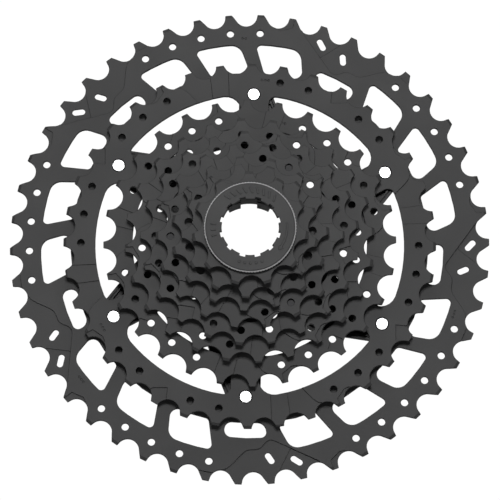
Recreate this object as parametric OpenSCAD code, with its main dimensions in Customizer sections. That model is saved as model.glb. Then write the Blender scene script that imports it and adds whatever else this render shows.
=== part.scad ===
// Nine-sprocket bicycle cassette, 11 to 46 teeth.
// +Z runs along the hub axle, outboard. Z = 0 is the inboard face of the carrier, where the
// stack seats on the freehub shoulder. Angles are counter-clockwise, seen from outboard.

/* [Chain and spacing] */
// Pitch of the chain that the teeth carry
chain_pitch = 12.7; // [12.65:0.01:12.75]
// Thickness of each sprocket plate
plate_t = 1.78; // [1.7:0.02:1.86]
// Distance from one sprocket to the next along the axle
plate_step = 4.34; // [4.3:0.02:4.4]

/* [Teeth] */
// Radius of the arc that a chain roller sits in, at 46 teeth and at 28 or fewer
seat_r = [4.4, 5.2]; // [4.3:0.05:5.3]
// Depth of the roller seat below the pitch circle, at 46 teeth and at 28 or fewer
seat_depth = [3.55, 4]; // [3.5:0.05:4.05]
// Distance of each seat from the middle of its gap, at 46 teeth and at 28 or fewer
seat_shift = [0.5, 0.25]; // [0.2:0.05:0.5]
// Lean of the sloped flank that the chain leaves by, at 46 teeth and at 28 or fewer
slope_deg = [37, 23]; // [22:1:38]
// Lean of the steep driving flank
steep_deg = 14; // [12:1:15]

/* [Lightening holes] */
// Radius of the round holes below the teeth
hole_r = 1.45; // [1.4:0.05:1.6]
// Half the width of the slots at the shift gates
slot_r = 1.2; // [1.2:0.05:1.4]

/* [Shift gates] */
// Depth of the recesses in the outboard faces
gate_depth = 0.5; // [0.3:0.05:0.5]
// Depth of the fine steps beside a gate
step_depth = 0.2; // [0.15:0.05:0.25]

/* [Freehub spline] */
// Radius at the bottom of the spline grooves, and of the bore in each spacer
bore_r = 17.5; // [17.45:0.05:17.6]
// Radius at the tips of the inward spline teeth
spline_tip_r = 16; // [15.9:0.05:16.3]
// Angle that one inward spline tooth covers
spline_tooth_deg = 17; // [15:0.5:18]

/* [Carrier and rivets] */
// Radius of the circle that the six large rivets stand on
rivet_circle_r = 60.65; // [60.5:0.05:60.9]
// Radius of a large rivet
rivet_r = 2.25; // [2.2:0.05:2.4]
// Radius of the circle that the six small rivets stand on
small_rivet_circle_r = 41.2; // [41:0.1:41.4]
// Radius of a small rivet
small_rivet_r = 1.6; // [1.5:0.05:1.7]
// Radius of the circle that the three cluster pins stand on
pin_circle_r = 30.9; // [30.7:0.05:31]
// Radius of a cluster pin
pin_r = 1.2; // [1.1:0.05:1.25]

/* [Lockring] */
// Outside radius of the lockring flange
flange_r = 17.85; // [17.7:0.05:18]
// Thickness of the lockring flange
flange_t = 1.9; // [1.8:0.05:2]
// Outside radius of the lockring thread
thread_r = 15.3; // [15.2:0.05:15.4]
// Radius of the tool bore between its notches
tool_bore_r = 11; // [10.9:0.05:11.2]
// Radius at the bottom of the twelve tool notches
tool_notch_r = 11.9; // [11.8:0.05:12.1]
// Depth of the notched bore
tool_depth = 2.4; // [2:0.1:3]
// Radius of the wider bore below the notches
shank_bore_r = 13.2; // [13:0.1:13.5]

/* [Hidden] */
$fn = 96;

eps = 0.01;
fit_gap = 0.02;          // radial gap between a rivet or pin and its hole
arm_count = 6;
arm_at = 30;             // angle of the first carrier arm
pin_count = 3;
pin_at = 62.2;           // angle of the first cluster pin
spline_count = 9;
spline_at = 32.7;        // angle of the first inward spline tooth
spacer_t = plate_step - plate_t;
stack_top = 8 * plate_step + plate_t;
washer_t = 0.5;
gate_r = 89;             // radius that the shift gates of the 46-tooth plate are laid out from
hub_r = 23.4;            // outside radius of the carrier hub
spacer_r = 21.6;         // outside radius of the spacers

black = [0.09, 0.09, 0.095];
dark = [0.14, 0.14, 0.15];
silver = [0.86, 0.87, 0.88];

// ---------- small helpers ----------

function polar(r, a) = r * [cos(a), sin(a)];
function pitch_r(n) = chain_pitch / 2 / sin(180 / n);
function by_teeth(values, n) = lookup(n, [[28, values[1]], [46, values[0]]]);
function root_r(n) = pitch_r(n) - by_teeth(seat_depth, n);
function unit(v) = v / norm(v);
function wrap(a) = a > 180 ? a - 360 : a < -180 ? a + 360 : a;
function smooth(t) = t * t * (3 - 2 * t);
function any(list, k) = len([for (v = list) if (v == k) v]) > 0;

// Points of a corner at p between a and b, rounded with radius r.
function corner(a, p, b, r, n = 6) =
    r == 0 ? [p] :
    let (u = unit(a - p), v = unit(b - p))
    let (half = acos(u * v) / 2, c = p + unit(u + v) * r / sin(half))
    let (s = p + u * r / tan(half) - c, e = p + v * r / tan(half) - c)
    let (a0 = atan2(s[1], s[0]), da = wrap(atan2(e[1], e[0]) - a0))
    [for (i = [0:n]) c + polar(r, a0 + da * i / n)];

// Closed outline through points [x, y, corner radius].
function rounded(pts) =
    let (n = len(pts), xy = [for (p = pts) [p[0], p[1]]])
    [for (i = [0:n - 1]) each corner(xy[(i + n - 1) % n], xy[i], xy[(i + 1) % n], pts[i][2])];

// Radius eases from r0 to r1 while the angle goes from a0 to a1.
function s_curve(a0, r0, a1, r1, n = 8) =
    [for (i = [0:n]) polar(r0 + (r1 - r0) * smooth(i / n), a0 + (a1 - a0) * i / n)];

function arc(r, a0, a1, n) = [for (i = [0:n]) polar(r, a0 + (a1 - a0) * i / n)];

// Cuts a flat-bottomed recess of the given depth into a face at z.
module recess(outline, z, depth) {
    translate([0, 0, z - depth]) linear_extrude(depth + 1) polygon(outline);
}

// ---------- sprocket plates ----------

// Plate blank at z = 0: tooth tips are bevelled on both faces.
module blank(tip_r) {
    bevel_out = 1.05;    // radial width of the outboard bevel
    bevel_in = 0.6;      // radial width of the inboard bevel
    rotate_extrude()
        polygon([[0, 0], [tip_r - bevel_in, 0], [tip_r, 0.35], [tip_r, plate_t - 0.55],
                 [tip_r - bevel_out, plate_t], [0, plate_t]]);
}

// The space between two teeth, centred on +X: a round seat with one steep and one sloped flank,
// cut just past the tips at tip_r.
module tooth_gap(n, tip_r) {
    seat = by_teeth(seat_r, n);
    lean = by_teeth(slope_deg, n);
    c = [root_r(n) + seat, -by_teeth(seat_shift, n)];
    inside = seat - 0.03;
    steep = c - inside * [sin(steep_deg), cos(steep_deg)];
    slope = c + inside * [-sin(lean), cos(lean)];
    past = max(tip_r + 0.4, c[0] + 0.1);
    translate([0, 0, -1]) {
        translate(c) cylinder(r = seat, h = plate_t + 2, $fn = 48);
        linear_extrude(plate_t + 2)
            polygon([c, steep, [past, steep[1] - (past - steep[0]) * tan(steep_deg)],
                     [past, slope[1] + (past - slope[0]) * tan(lean)], slope]);
    }
}

// Toothed plate with its first tooth at the given angle. tip_over is the tip's height above the
// pitch circle.
module toothed_plate(n, at, tip_over) {
    tip_r = pitch_r(n) + tip_over;
    difference() {
        blank(tip_r);
        for (k = [0:n - 1])
            rotate(at + (k + 0.5) * 360 / n) tooth_gap(n, tip_r);
    }
}

// Round holes below the teeth that are listed in which.
module tooth_holes(n, at, drop, which, r = hole_r) {
    for (k = which)
        rotate(at + k * 360 / n) translate([pitch_r(n) - drop, 0, -1])
            cylinder(r = r, h = plate_t + 2, $fn = 36);
}

// Splined bore that fits the freehub. One inward tooth is narrower and sets the clocking.
module spline_bore(h) {
    translate([0, 0, -1]) {
        cylinder(r = spline_tip_r, h = h + 2);
        intersection() {
            cylinder(r = bore_r, h = h + 2);
            for (k = [0:spline_count - 1]) {
                tooth = k == 5 ? spline_tooth_deg - 6 : spline_tooth_deg;
                last = k == 4 ? spline_tooth_deg - 6 : spline_tooth_deg;
                a0 = spline_at + k * 40 + tooth / 2;
                a1 = spline_at + (k + 1) * 40 - last / 2;
                linear_extrude(h + 2)
                    polygon([[0, 0], polar(2 * bore_r, a0), polar(2 * bore_r, a1)]);
            }
        }
    }
}

// Ring opening of radius r with six lobes that reach in to lobe_r over the carrier arms. side and
// fillet hold two values: for the clockwise and the counter-clockwise side of a lobe.
function lobed_opening(r, lobe_r, side, fillet, tip_fillet) =
    let (x = [for (s = side) sqrt(r * r - s * s)], open = [for (s = side) asin(s / r) + 7])
    rounded([for (k = [0:arm_count - 1])
        let (a = arm_at + k * 60, u = polar(1, a), v = polar(1, a + 90))
        each concat(
            [[each x[0] * u - side[0] * v, fillet[0]], [each lobe_r * u - side[0] * v, tip_fillet],
             [each lobe_r * u + side[1] * v, tip_fillet], [each x[1] * u + side[1] * v, fillet[1]]],
            [for (p = arc(r, a + open[1], a + 60 - open[0], 10)) [each p, 0]])]);

// Holes for the six rivets, with the clearance bevel around each rivet face.
module rivet_holes(circle_r, r, z0, z1) {
    bevel = 0.36;
    for (k = [0:arm_count - 1])
        rotate(arm_at + 60 * k) translate([circle_r, 0, 0]) {
            translate([0, 0, z0 - 1]) cylinder(r = r + fit_gap, h = z1 - z0 + 2, $fn = 48);
            translate([0, 0, z1 - bevel])
                cylinder(r1 = r + fit_gap, r2 = r + fit_gap + 2 * bevel, h = 2 * bevel, $fn = 48);
        }
}

// Small round timing marks pressed into a face.
module timing_marks(r, at, z, count = 2) {
    for (i = [0:count - 1])
        rotate(at) translate([r, (i - (count - 1) / 2) * 1.3, z - 0.15])
            cylinder(r = 0.42, h = 1, $fn = 16);
}

// Relief that thins the driving side of the tooth at angle a, above the root circle.
function tooth_relief(n, a) =
    let (r = root_r(n), step = 360 / n)
    [polar(r + 1.1, a - 0.05 * step), polar(r - 0.9, a + 0.32 * step),
     polar(r - 0.4, a + 0.5 * step), polar(r + 9, a + 0.5 * step),
     polar(r + 9, a - 0.05 * step)];

// Recess of a shift gate on the 46-tooth plate. a is the angle of the tooth at the first slot.
function wide_gate(a) =
    let (r = gate_r)
    concat(s_curve(a - 12.2, r + 0.4, a - 5.2, r - 8.1, 10),
           [polar(r - 8.2, a - 3.4)],
           s_curve(a - 2.9, r - 8.3, a + 0.5, r - 11.5, 6),
           [polar(r - 11.6, a + 1.1), polar(r - 11.2, a + 1.9),
            polar(r - 7.2, a + 6.3), polar(r + 0.3, a + 12.2),
            polar(r + 8, a + 12.2), polar(r + 8, a - 12.2)]);

// The lower half of that gate, up to the line between its two slots.
function wide_gate_step(a) =
    let (r = gate_r)
    [polar(r - 7.0, a + 6.0), polar(r - 6.9, a + 6.5), polar(r + 0.4, a + 12.6),
     polar(r + 8, a + 12.2), polar(r + 8, a + 1.2), polar(r + 0.3, a + 2.5)];

// Gate on a narrower plate, from radius inner out to the teeth. a is the angle of its first
// tooth, and its two fine lines and its curved edge keep their spacing along the rim.
function narrow_gate(n, a, inner) =
    let (r = root_r(n), mm = 57.3 / r)
    concat([polar(inner, a + 5.6 * mm)],
           s_curve(a + 9.4 * mm, inner, a + 17.4 * mm, r - 0.2, 8),
           [polar(r + 8, a + 17.4 * mm), polar(r + 8, a + 2.6 * mm),
            polar(r - 0.6, a + 4.3 * mm)]);

function narrow_gate_step(n, a, inner) =
    let (r = root_r(n), mm = 57.3 / r)
    [polar(inner, a - 1.9 * mm), polar(inner, a + 5.6 * mm), polar(r - 0.6, a + 4.3 * mm),
     polar(r + 8, a + 2.6 * mm), polar(r + 8, a - 3.6 * mm), polar(r - 0.6, a - 3.0 * mm)];

// V-shaped recess at one tooth, where the chain comes off.
function v_notch(n, a) =
    let (r = root_r(n), mm = 57.3 / r)
    [polar(r - 3.6, a + 1.3 * mm), polar(r + 6, a + 5.2 * mm), polar(r + 6, a - 5.2 * mm),
     polar(r - 0.4, a - 4.0 * mm)];

module narrow_gates(n, tooth_at, gates, inner, z = plate_t) {
    for (g = gates) {
        a = tooth_at + g * 360 / n;
        recess(narrow_gate(n, a, inner), z, gate_depth);
        recess(narrow_gate_step(n, a, inner), z, step_depth);
        recess(tooth_relief(n, a + 2 * 360 / n), z, gate_depth);
    }
}

// ---------- the nine sprockets ----------

module sprocket_46t() {
    n = 46;
    at = 2.66;
    gates = [8, 17, 26, 35, 45];
    short_windows = [3, 7, 11, 15, 20];
    window_count = 21;
    window_at = 13.16;
    ring_r = 62.2;
    color(black) difference() {
        toothed_plate(n, at, 1.38);
        translate([0, 0, -1]) linear_extrude(plate_t + 2)
            polygon(lobed_opening(ring_r, 55.2, [5.6, 5.6], [2.5, 2.5], 5));
        rivet_holes(rivet_circle_r, rivet_r, 0, plate_t);
        tooth_holes(n, at, 6.3, [for (k = [0:n - 1])
            if (any([for (g = gates) each [g - 6, g - 5, g - 4, g - 3, g - 2]], k) || k == 38) k]);
        for (w = [0:window_count - 1]) {
            c = window_at + w * 360 / window_count;
            short = any(short_windows, w);
            translate([0, 0, -1]) linear_extrude(plate_t + 2)
                polygon(short ? short_window(c) : long_window(c));
        }
        for (g = gates) {
            a = at + g * 360 / n;
            recess(wide_gate(a), plate_t, gate_depth);
            recess(wide_gate_step(a), plate_t, gate_depth + step_depth);
            recess(tooth_relief(n, a + 2 * 360 / n), plate_t, gate_depth);
            recess(arc_band(n, a - 2 * 360 / n), plate_t, gate_depth);
            gate_slot(polar(83.5, a - 0.2), polar(85.6, a + 0.6));
            gate_slot(polar(86.0, a + 6.4), polar(87.9, a + 7.7));
        }
        timing_marks(84.6, 93.0, plate_t);
        timing_marks(84.6, 342.8, plate_t, 3);
        timing_marks(84.6, 220.4, plate_t, 3);
    }
}

// Region of one tooth above the root circle.
function arc_band(n, a) =
    let (r = root_r(n) + 1.5, half = 0.45 * 360 / n)
    concat(arc(r, a - half, a + half, 4), arc(r + 6, a + half, a - half, 4));

function long_window(c) =
    rounded([[each polar(70.3, c - 7.65), 3], [each polar(82.2, c - 4.55), 4.7],
             [each polar(82.2, c), 0], [each polar(82.2, c + 4), 0],
             [each polar(82.2, c + 8.1), 1.7], [each polar(70.4, c + 5.1), 1.8],
             [each polar(70.5, c - 1.3), 0]]);

function short_window(c) =
    rounded([[each polar(70.3, c - 6.6), 2.7], [each polar(76.3, c - 6.5), 2.8],
             [each polar(76.3, c), 0], [each polar(76.4, c + 6.2), 2.2],
             [each polar(70.4, c + 6.1), 3.5], [each polar(70.2, c), 0]]);

// Slot with round ends at p and q, through the plate.
module gate_slot(p, q) {
    along = atan2(q[1] - p[1], q[0] - p[0]);
    function end(c, from) = [for (i = [0:12]) c + polar(slot_r, from + 15 * i)];
    translate([0, 0, -1]) linear_extrude(plate_t + 2)
        polygon(concat(end(p, along + 90), end(q, along - 90)));
}

module sprocket_36t() {
    n = 36;
    at = 1.05;
    inner = 60.64;
    holes = [0, 4, 5, 7, 8, 12, 13, 14, 16, 17, 18, 22, 23, 25, 26, 30, 31, 32, 34, 35];
    color(black) translate([0, 0, plate_step]) difference() {
        toothed_plate(n, at, 0.33);
        translate([0, 0, -1]) linear_extrude(plate_t + 2)
            polygon(lobed_opening(inner, 49.2, [6, 4.8], [2.8, 6], 4));
        rivet_holes(rivet_circle_r, rivet_r, 0, plate_t);
        tooth_holes(n, at, 6.55, holes);
        narrow_gates(n, at, [1, 10, 19, 28], inner - 3);
        for (g = [6, 15, 24, 33])
            recess(v_notch(n, at + g * 10), plate_t, gate_depth);
        timing_marks(66.6, 86.2, plate_t, 3);
        timing_marks(66.4, 211.5, plate_t, 3);
    }
}

module sprocket_28t() {
    n = 28;
    at = 2.78;
    inner = 45.9;
    step = 360 / n;
    holes = [for (k = [0:n - 1]) if (k % 7 != 0 && k % 7 != 6) k];
    color(black) translate([0, 0, 2 * plate_step]) difference() {
        toothed_plate(n, at, 0.65);
        translate([0, 0, -1]) linear_extrude(plate_t + 2)
            polygon(lobed_opening(inner, 37.6, [4.6, 4.6], [3.2, 3.2], 3.6));
        rivet_holes(small_rivet_circle_r, small_rivet_r, 0, plate_t);
        tooth_holes(n, at, 6.54, holes);
        narrow_gates(n, at, [6, 13, 20, 27], inner - 3);
        for (g = [3, 10, 17, 24])
            recess(v_notch(n, at + g * step), plate_t, gate_depth);
        timing_marks(49.6, 76, plate_t);
    }
}

// A plate that sits on the freehub itself. windows lists [inner radius, outer radius, angle of
// the first window, half the angle of a window], and is empty for a solid web.
module loose_plate(n, at, tip_over, drop, holes, gates, notches, windows = [], r = hole_r) {
    difference() {
        toothed_plate(n, at, tip_over);
        spline_bore(plate_t);
        tooth_holes(n, at, drop, holes, r);
        narrow_gates(n, at, gates, root_r(n) - 7.4);
        for (g = notches)
            recess(v_notch(n, at + g * 360 / n), plate_t, gate_depth);
        for (w = windows, k = [0:arm_count - 1]) {
            a = w[2] + 60 * k;
            translate([0, 0, -1]) linear_extrude(plate_t + 2)
                polygon(rounded([[each polar(w[0], a - w[3]), 1.5], [each polar(w[0], a), 0],
                                 [each polar(w[0], a + w[3]), 1.5],
                                 [each polar(w[1], a + w[3]), 2], [each polar(w[1], a), 0],
                                 [each polar(w[1], a - w[3]), 2]]));
        }
    }
}

// Holes for the cluster pins.
module pin_holes(h, r = pin_r + fit_gap) {
    for (k = [0:pin_count - 1])
        rotate(pin_at + 120 * k) translate([pin_circle_r, 0, -1])
            cylinder(r = r, h = h + 2, $fn = 36);
}

module sprocket_24t() {
    holes = [0, 1, 4, 5, 6, 8, 9, 12, 13, 16, 17, 20, 21, 23];
    color(black) translate([0, 0, 3 * plate_step]) difference() {
        loose_plate(24, 5.8, 0.2, 6.45, holes, [2, 10, 18], [7, 15, 22],
                    [[27, 38.6, 37.2, 20.2]]);
        pin_holes(plate_t);
    }
}

module sprocket_21t() {
    holes = [0, 1, 3, 4, 5, 6, 7, 8, 9, 10, 11, 12, 14, 15, 16, 18, 19, 20];
    color(black) translate([0, 0, 4 * plate_step]) difference() {
        loose_plate(21, 9.0, 0.1, 5.7, holes, [2, 9, 16], [6, 13, 20],
                    [[26.2, 33.6, 32.2, 19]]);
        pin_holes(plate_t);
    }
}

module sprocket_18t() {
    color(black) translate([0, 0, 5 * plate_step]) difference() {
        loose_plate(18, 2.2, 0.1, pitch_r(18) - pin_circle_r, [2, 3, 4, 8, 9, 10, 14, 15, 16],
                    [0, 6, 12], [5, 11, 17]);
        timing_marks(28.4, 62.2 + 60, plate_t);
    }
}

module sprocket_15t() {
    color(black) translate([0, 0, 6 * plate_step])
        loose_plate(15, 3.4, 0.1, 6.4, [0, 3, 6, 7, 8, 9, 12, 13, 14], [4, 10], [1, 11], [], 1.6);
}

module sprocket_13t() {
    color(black) translate([0, 0, 7 * plate_step])
        loose_plate(13, 19.0, 0, 0, [], [2, 9], [6]);
}

// The smallest sprocket carries its own collar, which stays below its tooth gaps.
module sprocket_11t() {
    n = 11;
    collar_r = root_r(n) - 0.2;
    color(black) translate([0, 0, 8 * plate_step]) difference() {
        union() {
            toothed_plate(n, 27.8, 0);
            translate([0, 0, -spacer_t]) difference() {
                cylinder(r = collar_r, h = spacer_t + eps);
                cylinder(r = bore_r, h = 3 * spacer_t, center = true);
            }
        }
        translate([0, 0, -eps]) spline_bore(plate_t);
    }
}

// ---------- carrier and spacers ----------

// Plan of one carrier arm along +X: its counter-clockwise side is nearly radial, and its
// clockwise side leans back to brace it.
arm_inner = [[20, 9.8, 0], [31, 7.2, 2], [37, 5.8, 6]];
arm_brace = [[37.5, -16.4, 4], [20, -11.4, 0]];

module carrier_arm() {
    floor_z = 0.9;       // underside of the arm above the seating face
    thick_r = 47.6;      // the arm is thick up to here, under the 28-tooth ring
    difference() {
        union() {
            translate([0, 0, plate_t]) linear_extrude(spacer_t)
                polygon(rounded(concat(arm_inner,
                    [[62, 5.7, 2.5], [65.4, 3.5, 2], [65.4, -4.8, 2.5], [60.4, -7.6, 3],
                     [50, -12, 8]], arm_brace)));
            translate([0, 0, floor_z]) linear_extrude(2 * plate_step - floor_z)
                polygon(rounded(concat(arm_inner,
                    [[thick_r, 5.7, 1], [thick_r, -12.8, 1]], arm_brace)));
        }
        // blind pocket beside the rivet, open towards the 36-tooth sprocket
        translate([0, 0, plate_t + 0.9]) linear_extrude(9)
            polygon(rounded([[48.8, -5.2, 0.5], [56.8, -5.2, 0.5], [57.6, -6.6, 0.5],
                             [48.8, -10.4, 0.5]]));
        // fine groove that runs along each side
        translate([0, 0, plate_t + spacer_t - 0.35]) linear_extrude(1) {
            polygon([[48.2, -11.6], [59.6, -6.9], [59.6, -6.6], [48.2, -11.3]]);
            polygon([[49.2, 5.3], [59, 5.2], [59, 4.9], [49.2, 5]]);
        }
    }
}

module carrier() {
    color(dark) difference() {
        union() {
            cylinder(r = hub_r, h = 2 * plate_step + plate_t);
            for (k = [0:arm_count - 1])
                rotate(arm_at + 60 * k) carrier_arm();
        }
        spline_bore(2 * plate_step + plate_t);
        for (k = [0:arm_count - 1])
            rotate(arm_at + 60 * k) {
                translate([rivet_circle_r, 0, 0])
                    cylinder(r = rivet_r + fit_gap, h = 9, $fn = 48);
                translate([small_rivet_circle_r, 0, 0])
                    cylinder(r = small_rivet_r + fit_gap, h = 12, $fn = 36);
            }
    }
}

// Six rivets that clamp the two largest sprockets to the arms. Both ends lie just below flush.
module carrier_rivets() {
    end_gap = 0.08;
    for (k = [0:arm_count - 1])
        color(silver) rotate(arm_at + 60 * k) translate([rivet_circle_r, 0, end_gap])
            cylinder(r = rivet_r, h = plate_step + plate_t - 2 * end_gap, $fn = 48);
}

// Six small rivets that hold the 28-tooth ring to the carrier.
module ring_rivets() {
    floor_z = 0.9;
    top = 2 * plate_step + plate_t - 0.1;
    for (k = [0:arm_count - 1])
        color(silver) rotate(arm_at + 60 * k) translate([small_rivet_circle_r, 0, 0]) {
            translate([0, 0, floor_z - 0.8 + eps])
                cylinder(r1 = small_rivet_r + 0.5, r2 = small_rivet_r + 1, h = 0.8 - eps, $fn = 36);
            translate([0, 0, floor_z - eps])
                cylinder(r = small_rivet_r, h = top - floor_z + eps, $fn = 36);
        }
}

// Plain spacer between two sprockets: the lower one is number i, counted from the 46-tooth one.
module plain_spacer(i) {
    translate([0, 0, i * plate_step + plate_t]) difference() {
        cylinder(r = spacer_r, h = spacer_t);
        translate([0, 0, -1]) cylinder(r = bore_r + 0.05, h = spacer_t + 2);
    }
}

// Spacer with three lugs that the cluster pins pass through.
module lugged_spacer(i) {
    lug_r = 1.9;
    difference() {
        union() {
            plain_spacer(i);
            translate([0, 0, i * plate_step + plate_t])
                for (k = [0:pin_count - 1])
                    rotate(pin_at + 120 * k) {
                        translate([pin_circle_r, 0, 0]) cylinder(r = lug_r, h = spacer_t, $fn = 48);
                        translate([bore_r + 1.5, -lug_r, 0])
                            cube([pin_circle_r - bore_r - 1.5, 2 * lug_r, spacer_t]);
                    }
        }
        translate([0, 0, i * plate_step + plate_t]) pin_holes(spacer_t);
    }
}

module spacer_28_24() { color(dark) plain_spacer(2); }
module spacer_24_21() { color(dark) lugged_spacer(3); }
module spacer_21_18() { color(dark) lugged_spacer(4); }
module spacer_18_15() { color(dark) plain_spacer(5); }

// The 13-tooth sprocket is smaller than the other spacers, so this one is narrower.
module spacer_15_13() {
    color(dark) translate([0, 0, 6 * plate_step + plate_t]) difference() {
        cylinder(r = spacer_r - 0.6, h = spacer_t);
        translate([0, 0, -1]) cylinder(r = bore_r + 0.05, h = spacer_t + 2);
    }
}

// Three long pins that hold the 24, 21 and 18-tooth sprockets together, with a head inside the
// last sprocket's hole and another below the first sprocket.
module cluster_pins() {
    z0 = 3 * plate_step;
    top = 5 * plate_step + 0.6;
    head_t = 0.7;
    for (k = [0:pin_count - 1])
        color(silver) rotate(pin_at + 120 * k) translate([pin_circle_r, 0, 0]) {
            translate([0, 0, z0 - head_t]) cylinder(r = pin_r + 0.8, h = head_t, $fn = 36);
            translate([0, 0, z0 - eps]) cylinder(r = pin_r, h = top - z0 + eps, $fn = 36);
            translate([0, 0, 5 * plate_step + 0.02])
                cylinder(r = hole_r - 0.05, h = top - 5 * plate_step - 0.02, $fn = 36);
        }
}

// ---------- lockring ----------

// Thin washer between the smallest sprocket and the lockring flange.
module lock_washer() {
    color(silver) translate([0, 0, stack_top]) difference() {
        cylinder(r = flange_r - 0.35, h = washer_t);
        translate([0, 0, -1]) cylinder(r = thread_r + 0.35, h = washer_t + 2);
    }
}

// Flange edge with fine serrations.
function serrated(r, depth, count) =
    [for (i = [0:2 * count - 1]) polar(i % 2 == 0 ? r : r - depth, i * 180 / count)];

// Raised bar on the flange face, at angle a, tilted like a grip pattern.
module face_bar(r, a, length, width, tilt, z) {
    rotate(a) translate([r, 0, z]) rotate(tilt)
        translate([-length / 2, -width / 2, -0.1]) cube([length, width, 0.1 + 0.22]);
}

// Raised arrow that points the way the lockring tightens.
module tighten_arrow(r, a0, a1, z) {
    half = 0.35;
    translate([0, 0, z - 0.1]) linear_extrude(0.1 + 0.22)
        polygon(concat(arc(r + half, a0, a1, 8),
                       [polar(r + 1.1, a1), polar(r, a1 - 6), polar(r - 1.1, a1)],
                       arc(r - half, a1, a0, 8)));
}

module lockring() {
    thread_pitch = 1.058;
    thread_turns = 5;
    thread_depth = 0.55;
    shank_top = stack_top + washer_t;
    shank_z = shank_top - 0.9 - thread_turns * thread_pitch;
    notch_half_deg = 5.9;
    notch_at = 16;
    top = shank_top + flange_t;
    bevel = 0.9;         // radial width of the bevel at the flange edge
    color(black) difference() {
        union() {
            intersection() {
                translate([0, 0, shank_top]) linear_extrude(flange_t)
                    polygon(serrated(flange_r, 0.22, 96));
                translate([0, 0, shank_top]) rotate_extrude()
                    polygon([[0, 0], [flange_r + 1, 0], [flange_r + 1, flange_t - 0.6],
                             [flange_r, flange_t - 0.6], [flange_r - bevel, flange_t],
                             [0, flange_t]]);
            }
            translate([0, 0, shank_z]) rotate_extrude()
                polygon(concat([[0, 0], [thread_r - thread_depth, 0]],
                    [for (i = [0:thread_turns - 1]) each
                        [[thread_r, (i + 0.38) * thread_pitch],
                         [thread_r, (i + 0.5) * thread_pitch],
                         [thread_r - thread_depth, (i + 0.88) * thread_pitch],
                         [thread_r - thread_depth, (i + 1) * thread_pitch]]],
                    [[thread_r - thread_depth, thread_turns * thread_pitch + 1.5],
                     [0, thread_turns * thread_pitch + 1.5]]));
            // raised generic marks on the face
            for (i = [-4:4])
                face_bar(14.6, 90 + i * 9.5, 2.6, 0.75, 24, top);
            for (i = [-1:1])
                face_bar(14.2, 186 + i * 9, 2.0, 0.6, 0, top);
            for (i = [-2:2])
                rotate(272 + i * 9) translate([14.2, 0, top - 0.1])
                    cylinder(r = 0.5, h = 0.1 + 0.22, $fn = 24);
            tighten_arrow(14.2, 368, 328, top);
        }
        translate([0, 0, shank_z - 1]) {
            cylinder(r = tool_bore_r, h = 20);
            for (k = [0:11]) {
                a = notch_at + 30 * k;
                intersection() {
                    cylinder(r = tool_notch_r, h = 20);
                    linear_extrude(20)
                        polygon([[0, 0], polar(20, a - notch_half_deg), polar(20, a + notch_half_deg)]);
                }
            }
        }
        translate([0, 0, shank_z - 1]) cylinder(r = shank_bore_r, h = top - tool_depth - shank_z + 1);
        // bore mouth is bevelled
        translate([0, 0, top - 0.15])
            cylinder(r1 = tool_bore_r, r2 = tool_bore_r + 0.3, h = 0.3);
    }
}

sprocket_46t();
sprocket_36t();
sprocket_28t();
sprocket_24t();
sprocket_21t();
sprocket_18t();
sprocket_15t();
sprocket_13t();
sprocket_11t();
carrier();
carrier_rivets();
ring_rivets();
spacer_28_24();
spacer_24_21();
spacer_21_18();
cluster_pins();
spacer_18_15();
spacer_15_13();
lock_washer();
lockring();
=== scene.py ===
import bpy
import math
from mathutils import Vector, Matrix


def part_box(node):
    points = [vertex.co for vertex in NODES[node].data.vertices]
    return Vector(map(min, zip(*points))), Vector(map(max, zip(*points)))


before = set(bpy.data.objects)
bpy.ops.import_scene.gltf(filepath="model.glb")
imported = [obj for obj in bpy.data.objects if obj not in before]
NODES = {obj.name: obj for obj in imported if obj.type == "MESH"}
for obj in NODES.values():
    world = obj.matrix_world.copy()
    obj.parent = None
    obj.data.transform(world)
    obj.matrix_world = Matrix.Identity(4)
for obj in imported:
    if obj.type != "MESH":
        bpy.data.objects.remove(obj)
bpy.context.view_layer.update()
MM = 0.001


# ---------- shader helpers ----------

# the values between which most of a noise texture lies
NOISE_LOW = 0.3
NOISE_HIGH = 0.7
# how upright a surface has to be to count as a flat face: from none of it to all of it
FLAT = (0.75, 0.95)
FLAT_OR_CHAMFER = (0.6, 0.7)


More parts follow.
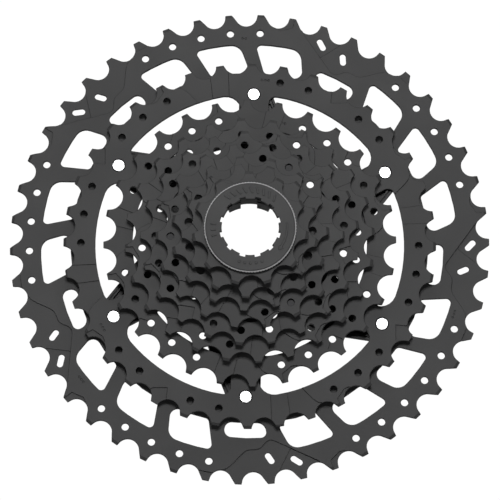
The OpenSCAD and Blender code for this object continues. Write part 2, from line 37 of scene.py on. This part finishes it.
class Shader:
    """A material's node tree, with a Principled surface in body and object coordinates in place."""

    def __init__(self, name):
        self.material = bpy.data.materials.new(name)
        self.material.use_nodes = True
        self.tree = self.material.node_tree
        self.tree.nodes.clear()
        self.out = self.add("ShaderNodeOutputMaterial")
        self.body = self.add("ShaderNodeBsdfPrincipled")
        self.link(self.body.outputs[0], self.out.inputs[0])
        self.place = self.add("ShaderNodeTexCoord").outputs["Object"]

    def add(self, kind, **settings):
        node = self.tree.nodes.new(kind)
        for key, value in settings.items():
            setattr(node, key, value)
        return node

    def link(self, source, socket):
        self.tree.links.new(source, socket)

    def feed(self, socket, value):
        """Links an output into the socket, or sets the socket to a number or a colour."""
        if hasattr(value, "links"):
            self.link(value, socket)
        elif isinstance(value, tuple) and socket.type == "RGBA":
            socket.default_value = (*value, 1)
        else:
            socket.default_value = value

    def math(self, operation, a, b=0.0, clamp=False):
        node = self.add("ShaderNodeMath", operation=operation, use_clamp=clamp)
        self.feed(node.inputs[0], a)
        self.feed(node.inputs[1], b)
        return node.outputs[0]

    def noise(self, scale, detail, rough, shift, stretch=(1, 1, 1)):
        mapping = self.add("ShaderNodeMapping")
        mapping.inputs["Scale"].default_value = stretch
        mapping.inputs["Location"].default_value = (shift, shift * 0.7, -shift * 0.4)
        self.link(self.place, mapping.inputs["Vector"])
        node = self.add("ShaderNodeTexNoise")
        node.inputs["Scale"].default_value = scale
        node.inputs["Detail"].default_value = detail
        node.inputs["Roughness"].default_value = rough
        self.link(mapping.outputs[0], node.inputs["Vector"])
        return node.outputs[0]

    def ramp(self, value, low, high, to_low=0.0, to_high=1.0):
        """Takes low to high onto to_low to to_high, and stops at both ends."""
        node = self.add("ShaderNodeMapRange")
        for name, setting in (("Value", value), ("From Min", low), ("From Max", high),
                              ("To Min", to_low), ("To Max", to_high)):
            self.feed(node.inputs[name], setting)
        return node.outputs[0]

    def spread(self, noise, to_low, to_high):
        """A noise stretched so that it runs from to_low to to_high."""
        return self.ramp(noise, NOISE_LOW, NOISE_HIGH, to_low, to_high)

    def mix(self, factor, a, b):
        node = self.add("ShaderNodeMix", data_type="RGBA")
        self.feed(node.inputs[0], factor)
        self.feed(node.inputs[6], a)
        self.feed(node.inputs[7], b)
        return node.outputs[2]

    def shade(self, factor, colour):
        """The colour times factor."""
        node = self.add("ShaderNodeVectorMath", operation="SCALE")
        self.feed(node.inputs[0], colour)
        self.feed(node.inputs[3], factor)
        return node.outputs[0]

    def upright(self):
        """How much the surface faces along the axle: 0 on a side wall, 1 on a flat face."""
        turn = self.add("ShaderNodeVectorTransform", vector_type="NORMAL",
                        convert_from="WORLD", convert_to="OBJECT")
        self.link(self.add("ShaderNodeNewGeometry").outputs["True Normal"], turn.inputs[0])
        split = self.add("ShaderNodeSeparateXYZ")
        self.link(turn.outputs[0], split.inputs[0])
        return self.math("ABSOLUTE", split.outputs[2])

    def from_axle(self):
        """The distance from the axle."""
        split = self.add("ShaderNodeSeparateXYZ")
        self.link(self.place, split.inputs[0])
        across = self.add("ShaderNodeCombineXYZ")
        self.link(split.outputs[0], across.inputs[0])
        self.link(split.outputs[1], across.inputs[1])
        length = self.add("ShaderNodeVectorMath", operation="LENGTH")
        self.link(across.outputs[0], length.inputs[0])
        return length.outputs["Value"]

    def edges(self, radius):
        """The normal rounded over the edges, and a mask that is 1 on an edge and 0 away from it."""
        bevel = self.add("ShaderNodeBevel", samples=6)
        bevel.inputs["Radius"].default_value = radius
        dot = self.add("ShaderNodeVectorMath", operation="DOT_PRODUCT")
        self.link(bevel.outputs[0], dot.inputs[0])
        self.link(self.add("ShaderNodeNewGeometry").outputs["True Normal"], dot.inputs[1])
        return bevel.outputs[0], self.ramp(dot.outputs["Value"], 0.998, 0.93)

    def relief(self, height, depth, strength, normal):
        """Gives the surface a fine bump on top of normal."""
        node = self.add("ShaderNodeBump")
        node.inputs["Strength"].default_value = strength
        node.inputs["Distance"].default_value = depth
        self.link(height, node.inputs["Height"])
        self.link(normal, node.inputs["Normal"])
        self.link(node.outputs[0], self.body.inputs["Normal"])


# ---------- materials ----------

def coated(name, face, wall, rough, metallic=0.0, shift=0.0, rub=0.25, grain=2600, highlight_from=None):
    """Dipped black coat on stamped steel: flat faces with a fine orange peel, sheared side walls painted
    darker as shade, with vertical drag lines, painted shade darkening every edge, and lighter chips where the
    coat is rubbed through here and there.
    Outside the radius highlight_from, if it is given, the flat metal is painted bright as a highlight."""
    s = Shader(name)
    cloud = s.noise(55, 4, 0.55, shift)
    peel = s.noise(grain, 2, 0.6, shift)
    speck = s.noise(grain * 3.3, 1, 0.5, shift + 3)
    drag = s.noise(5200, 2, 0.6, shift, stretch=(1, 1, 0.07))
    flat = s.ramp(s.upright(), *(FLAT_OR_CHAMFER if highlight_from else FLAT))

    face_tone = s.math("ADD", s.spread(cloud, 0.93, 1.07), s.spread(peel, -0.03, 0.03))
    wall_tone = s.spread(drag, 0.8, 1.25)
    # side walls take the wall colour, which is painted shade; flat faces take the face colour
    base = s.mix(flat, s.shade(wall_tone, wall), s.shade(face_tone, face))
    # painted shade: every edge is darkened to this fraction of its colour
    edge_shade = 0.12
    # painted highlight: a bright ring on the flat metal and chamfer outside the given radius, with less
    # painted edge shade
    if highlight_from:
        edge_shade = 0.7
        highlight_colour = tuple(7.5 * c for c in face)
        highlight_mask = s.math("MULTIPLY", s.math("GREATER_THAN", s.from_axle(), highlight_from), flat)
        base = s.mix(highlight_mask, base, s.shade(s.spread(speck, 0.75, 1.2), highlight_colour))

    rounded, edge = s.edges(0.26 * MM)
    chips = s.ramp(s.noise(700, 3, 0.6, shift + 9), 0.55, 0.75, 0, rub)
    worn = s.math("MULTIPLY", edge, chips, clamp=True)
    # the base colour with the painted edge shade on it
    shaded_edges = s.shade(s.ramp(edge, 0, 1, 1, edge_shade), base)
    s.feed(s.body.inputs["Base Color"], s.mix(worn, shaded_edges, tuple(2.2 * c for c in face)))
    s.feed(s.body.inputs["Metallic"], metallic)
    s.feed(s.body.inputs["Specular IOR Level"], 0.2)
    s.feed(s.body.inputs["Roughness"],
           s.math("ADD", s.spread(cloud, rough - 0.05, rough + 0.05), s.spread(speck, -0.05, 0.05)))
    face_grain = s.math("ADD", s.math("MULTIPLY", peel, 0.7), s.math("MULTIPLY", speck, 0.3))
    s.relief(s.mix(flat, drag, face_grain), 0.012 * MM, 0.35, rounded)
    return s.material


def plated(name, colour, rough, shift):
    """Bright plated steel with a fine grain, a few dull specks and side walls painted darker as shade."""
    s = Shader(name)
    grain = s.noise(4200, 3, 0.6, shift)
    dull = s.noise(900, 4, 0.6, shift + 5)
    # painted shade: side walls darkened to 0.6 of the colour
    wall_tone = s.ramp(s.ramp(s.upright(), *FLAT), 0, 1, 0.6, 1)
    tone = s.math("MULTIPLY", s.ramp(dull, 0.3, 0.75, 1.04, 0.9), wall_tone)
    s.feed(s.body.inputs["Base Color"], s.shade(tone, colour))
    s.feed(s.body.inputs["Metallic"], 0.55)
    s.feed(s.body.inputs["Roughness"], s.spread(dull, rough - 0.06, rough + 0.08))
    s.relief(grain, 0.01 * MM, 0.3, s.edges(0.16 * MM)[0])
    return s.material


def moulded(name, colour, rough, shift):
    """Glass-filled nylon: dull, slightly mottled, with a spark-eroded grain."""
    s = Shader(name)
    grain = s.noise(3800, 4, 0.7, shift)
    mottle = s.noise(420, 4, 0.6, shift + 2)
    s.feed(s.body.inputs["Base Color"], s.shade(s.spread(mottle, 0.85, 1.15), colour))
    s.feed(s.body.inputs["Roughness"], s.spread(grain, rough - 0.06, rough + 0.08))
    s.relief(grain, 0.02 * MM, 0.5, s.edges(0.2 * MM)[0])
    return s.material


def dress(look, *nodes):
    for node in nodes:
        NODES[node].data.materials.clear()
        NODES[node].data.materials.append(look)


# the face colour of the coat, and its side walls' colour, which is painted darker as shade
COAT_FACE = (0.0450, 0.0450, 0.0455)
COAT_WALL_SHADE = (0.0120, 0.0120, 0.0124)

# each sprocket has its own grain
for index, sprocket in enumerate(sorted(n for n in NODES if n.startswith("sprocket"))):
    dress(coated("black_coat_" + sprocket, COAT_FACE, COAT_WALL_SHADE, 0.58, shift=11.0 * index), sprocket)

# in each coat the second colour is the side walls' painted shade
dress(coated("anodised_carrier", (0.02, 0.02, 0.0205), (0.008, 0.008, 0.0082), 0.5,
             metallic=0.2, shift=91.0, rub=0.2, grain=3400),
      "carrier")

# the painted highlight on the lockring starts this far from the axle
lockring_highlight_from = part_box("lockring")[1].x - 0.55 * MM
dress(coated("lockring_coat", COAT_FACE, (0.008, 0.008, 0.0083), 0.58,
             shift=57.0, rub=0.3, grain=3400, highlight_from=lockring_highlight_from),
      "lockring")

dress(coated("blackened_pin", (0.02, 0.02, 0.021), (0.01, 0.01, 0.0103), 0.5,
             metallic=0.3, shift=71.0, rub=0.3, grain=4200),
      "cluster_pins")

dress(plated("plated_rivet", (0.93, 0.93, 0.94), 0.42, 4.0), "carrier_rivets", "ring_rivets")
dress(plated("washer_steel", (0.5, 0.5, 0.51), 0.4, 8.0), "lock_washer")
dress(moulded("nylon_spacer", (0.022, 0.022, 0.023), 0.6, 2.0), *(n for n in NODES if n.startswith("spacer")))


# ---------- studio ----------

# what the camera sees where there is no object, a little over white
PAPER_WHITE = 1.02
FLOOR_HALF = 4.0
FLOOR_DROP = 0.45
AIM = Vector((0, 0, 0.01))


def paper_material():
    """Plain white to the camera from above, a dull grey to the light, and clear from below, so that
    the object's inboard side shows."""
    s = Shader("pale_floor")
    s.feed(s.body.inputs["Base Color"], (0.5, 0.5, 0.5))
    s.feed(s.body.inputs["Roughness"], 0.9)
    paper = s.add("ShaderNodeEmission")
    s.feed(paper.inputs["Color"], (1.0, 1.0, 1.0))
    s.feed(paper.inputs["Strength"], PAPER_WHITE)
    clear = s.add("ShaderNodeBsdfTransparent")
    seen = s.add("ShaderNodeLightPath").outputs["Is Camera Ray"]
    seen_from_below = s.math("MULTIPLY", seen, s.add("ShaderNodeNewGeometry").outputs["Backfacing"])
    above = s.add("ShaderNodeMixShader")
    s.link(seen, above.inputs[0])
    s.link(s.body.outputs[0], above.inputs[1])
    s.link(paper.outputs[0], above.inputs[2])
    either = s.add("ShaderNodeMixShader")
    s.link(seen_from_below, either.inputs[0])
    s.link(above.outputs[0], either.inputs[1])
    s.link(clear.outputs[0], either.inputs[2])
    s.link(either.outputs[0], s.out.inputs[0])
    return s.material


def make_floor():
    corners = [(x * FLOOR_HALF, y * FLOOR_HALF, 0) for x, y in ((-1, -1), (1, -1), (1, 1), (-1, 1))]
    mesh = bpy.data.meshes.new("floor")
    mesh.from_pydata(corners, [], [(0, 1, 2, 3)])
    mesh.materials.append(paper_material())
    floor = bpy.data.objects.new("floor", mesh)
    floor.location.z = -FLOOR_DROP
    bpy.context.scene.collection.objects.link(floor)


def make_light(name, at, size, power):
    """A round softbox that points at the object."""
    light = bpy.data.lights.new(name, "AREA")
    light.shape = "DISK"
    light.size = size
    light.energy = power
    lamp = bpy.data.objects.new(name, light)
    lamp.location = at
    lamp.rotation_mode = "QUATERNION"
    lamp.rotation_quaternion = (Vector(at) - AIM).to_track_quat("Z", "Y")
    bpy.context.scene.collection.objects.link(lamp)


def make_world(strength):
    """White behind the object, and a faint light of the given strength from all around."""
    world = bpy.data.worlds.new("studio")
    bpy.context.scene.world = world
    world.use_nodes = True
    tree = world.node_tree
    background = tree.nodes["Background"]
    background.inputs["Color"].default_value = (1, 1, 1, 1)
    path = tree.nodes.new("ShaderNodeLightPath")
    pick = tree.nodes.new("ShaderNodeMix")
    pick.data_type = "FLOAT"
    pick.inputs[2].default_value = strength
    pick.inputs[3].default_value = PAPER_WHITE
    tree.links.new(path.outputs["Is Camera Ray"], pick.inputs[0])
    tree.links.new(pick.outputs[0], background.inputs["Strength"])


make_floor()
make_light("overhead", (0.0, 0.27, 1.05), 0.3, 7.9)
for side in (-1, 1):
    make_light("fill", (1.7 * side, -1.1, 0.55), 1.4, 14)
make_light("back", (0.0, 2.0, 0.75), 1.4, 14)
make_world(0.035)


# ---------- camera ----------

ELEVATION = math.radians(78.33)
ROLL = math.radians(1.52)
DISTANCE = 1.4737
FOCAL_LENGTH = 269.3
SENSOR_WIDTH = 36
SHIFT_X = 0.00059
SHIFT_Y = -0.00632
CLIP_NEAR = 0.05
CLIP_FAR = 30


def make_camera():
    """A long lens, almost above the object, that looks at the middle of the largest sprocket."""
    plate_low, plate_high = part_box("sprocket_46t")
    target = Vector((0, 0, (plate_low.z + plate_high.z) / 2))
    back = Vector((0, -math.cos(ELEVATION), math.sin(ELEVATION)))
    level = Vector((1, 0, 0))
    upward = back.cross(level)
    right = level * math.cos(ROLL) + upward * math.sin(ROLL)
    up = upward * math.cos(ROLL) - level * math.sin(ROLL)
    lens = bpy.data.cameras.new("camera")
    lens.sensor_width = SENSOR_WIDTH
    lens.lens = FOCAL_LENGTH
    lens.shift_x = SHIFT_X
    lens.shift_y = SHIFT_Y
    lens.clip_start = CLIP_NEAR
    lens.clip_end = CLIP_FAR
    camera = bpy.data.objects.new("camera", lens)
    bpy.context.scene.collection.objects.link(camera)
    facing = Matrix((right, up, back)).transposed().to_quaternion()
    camera.matrix_world = Matrix.LocRotScale(target + back * DISTANCE, facing, None)
    bpy.context.scene.camera = camera


make_camera()
bpy.context.scene.view_settings.view_transform = "Standard"
bpy.context.scene.view_settings.look = "None"


# ---------- final update -------

bpy.context.view_layer.update()
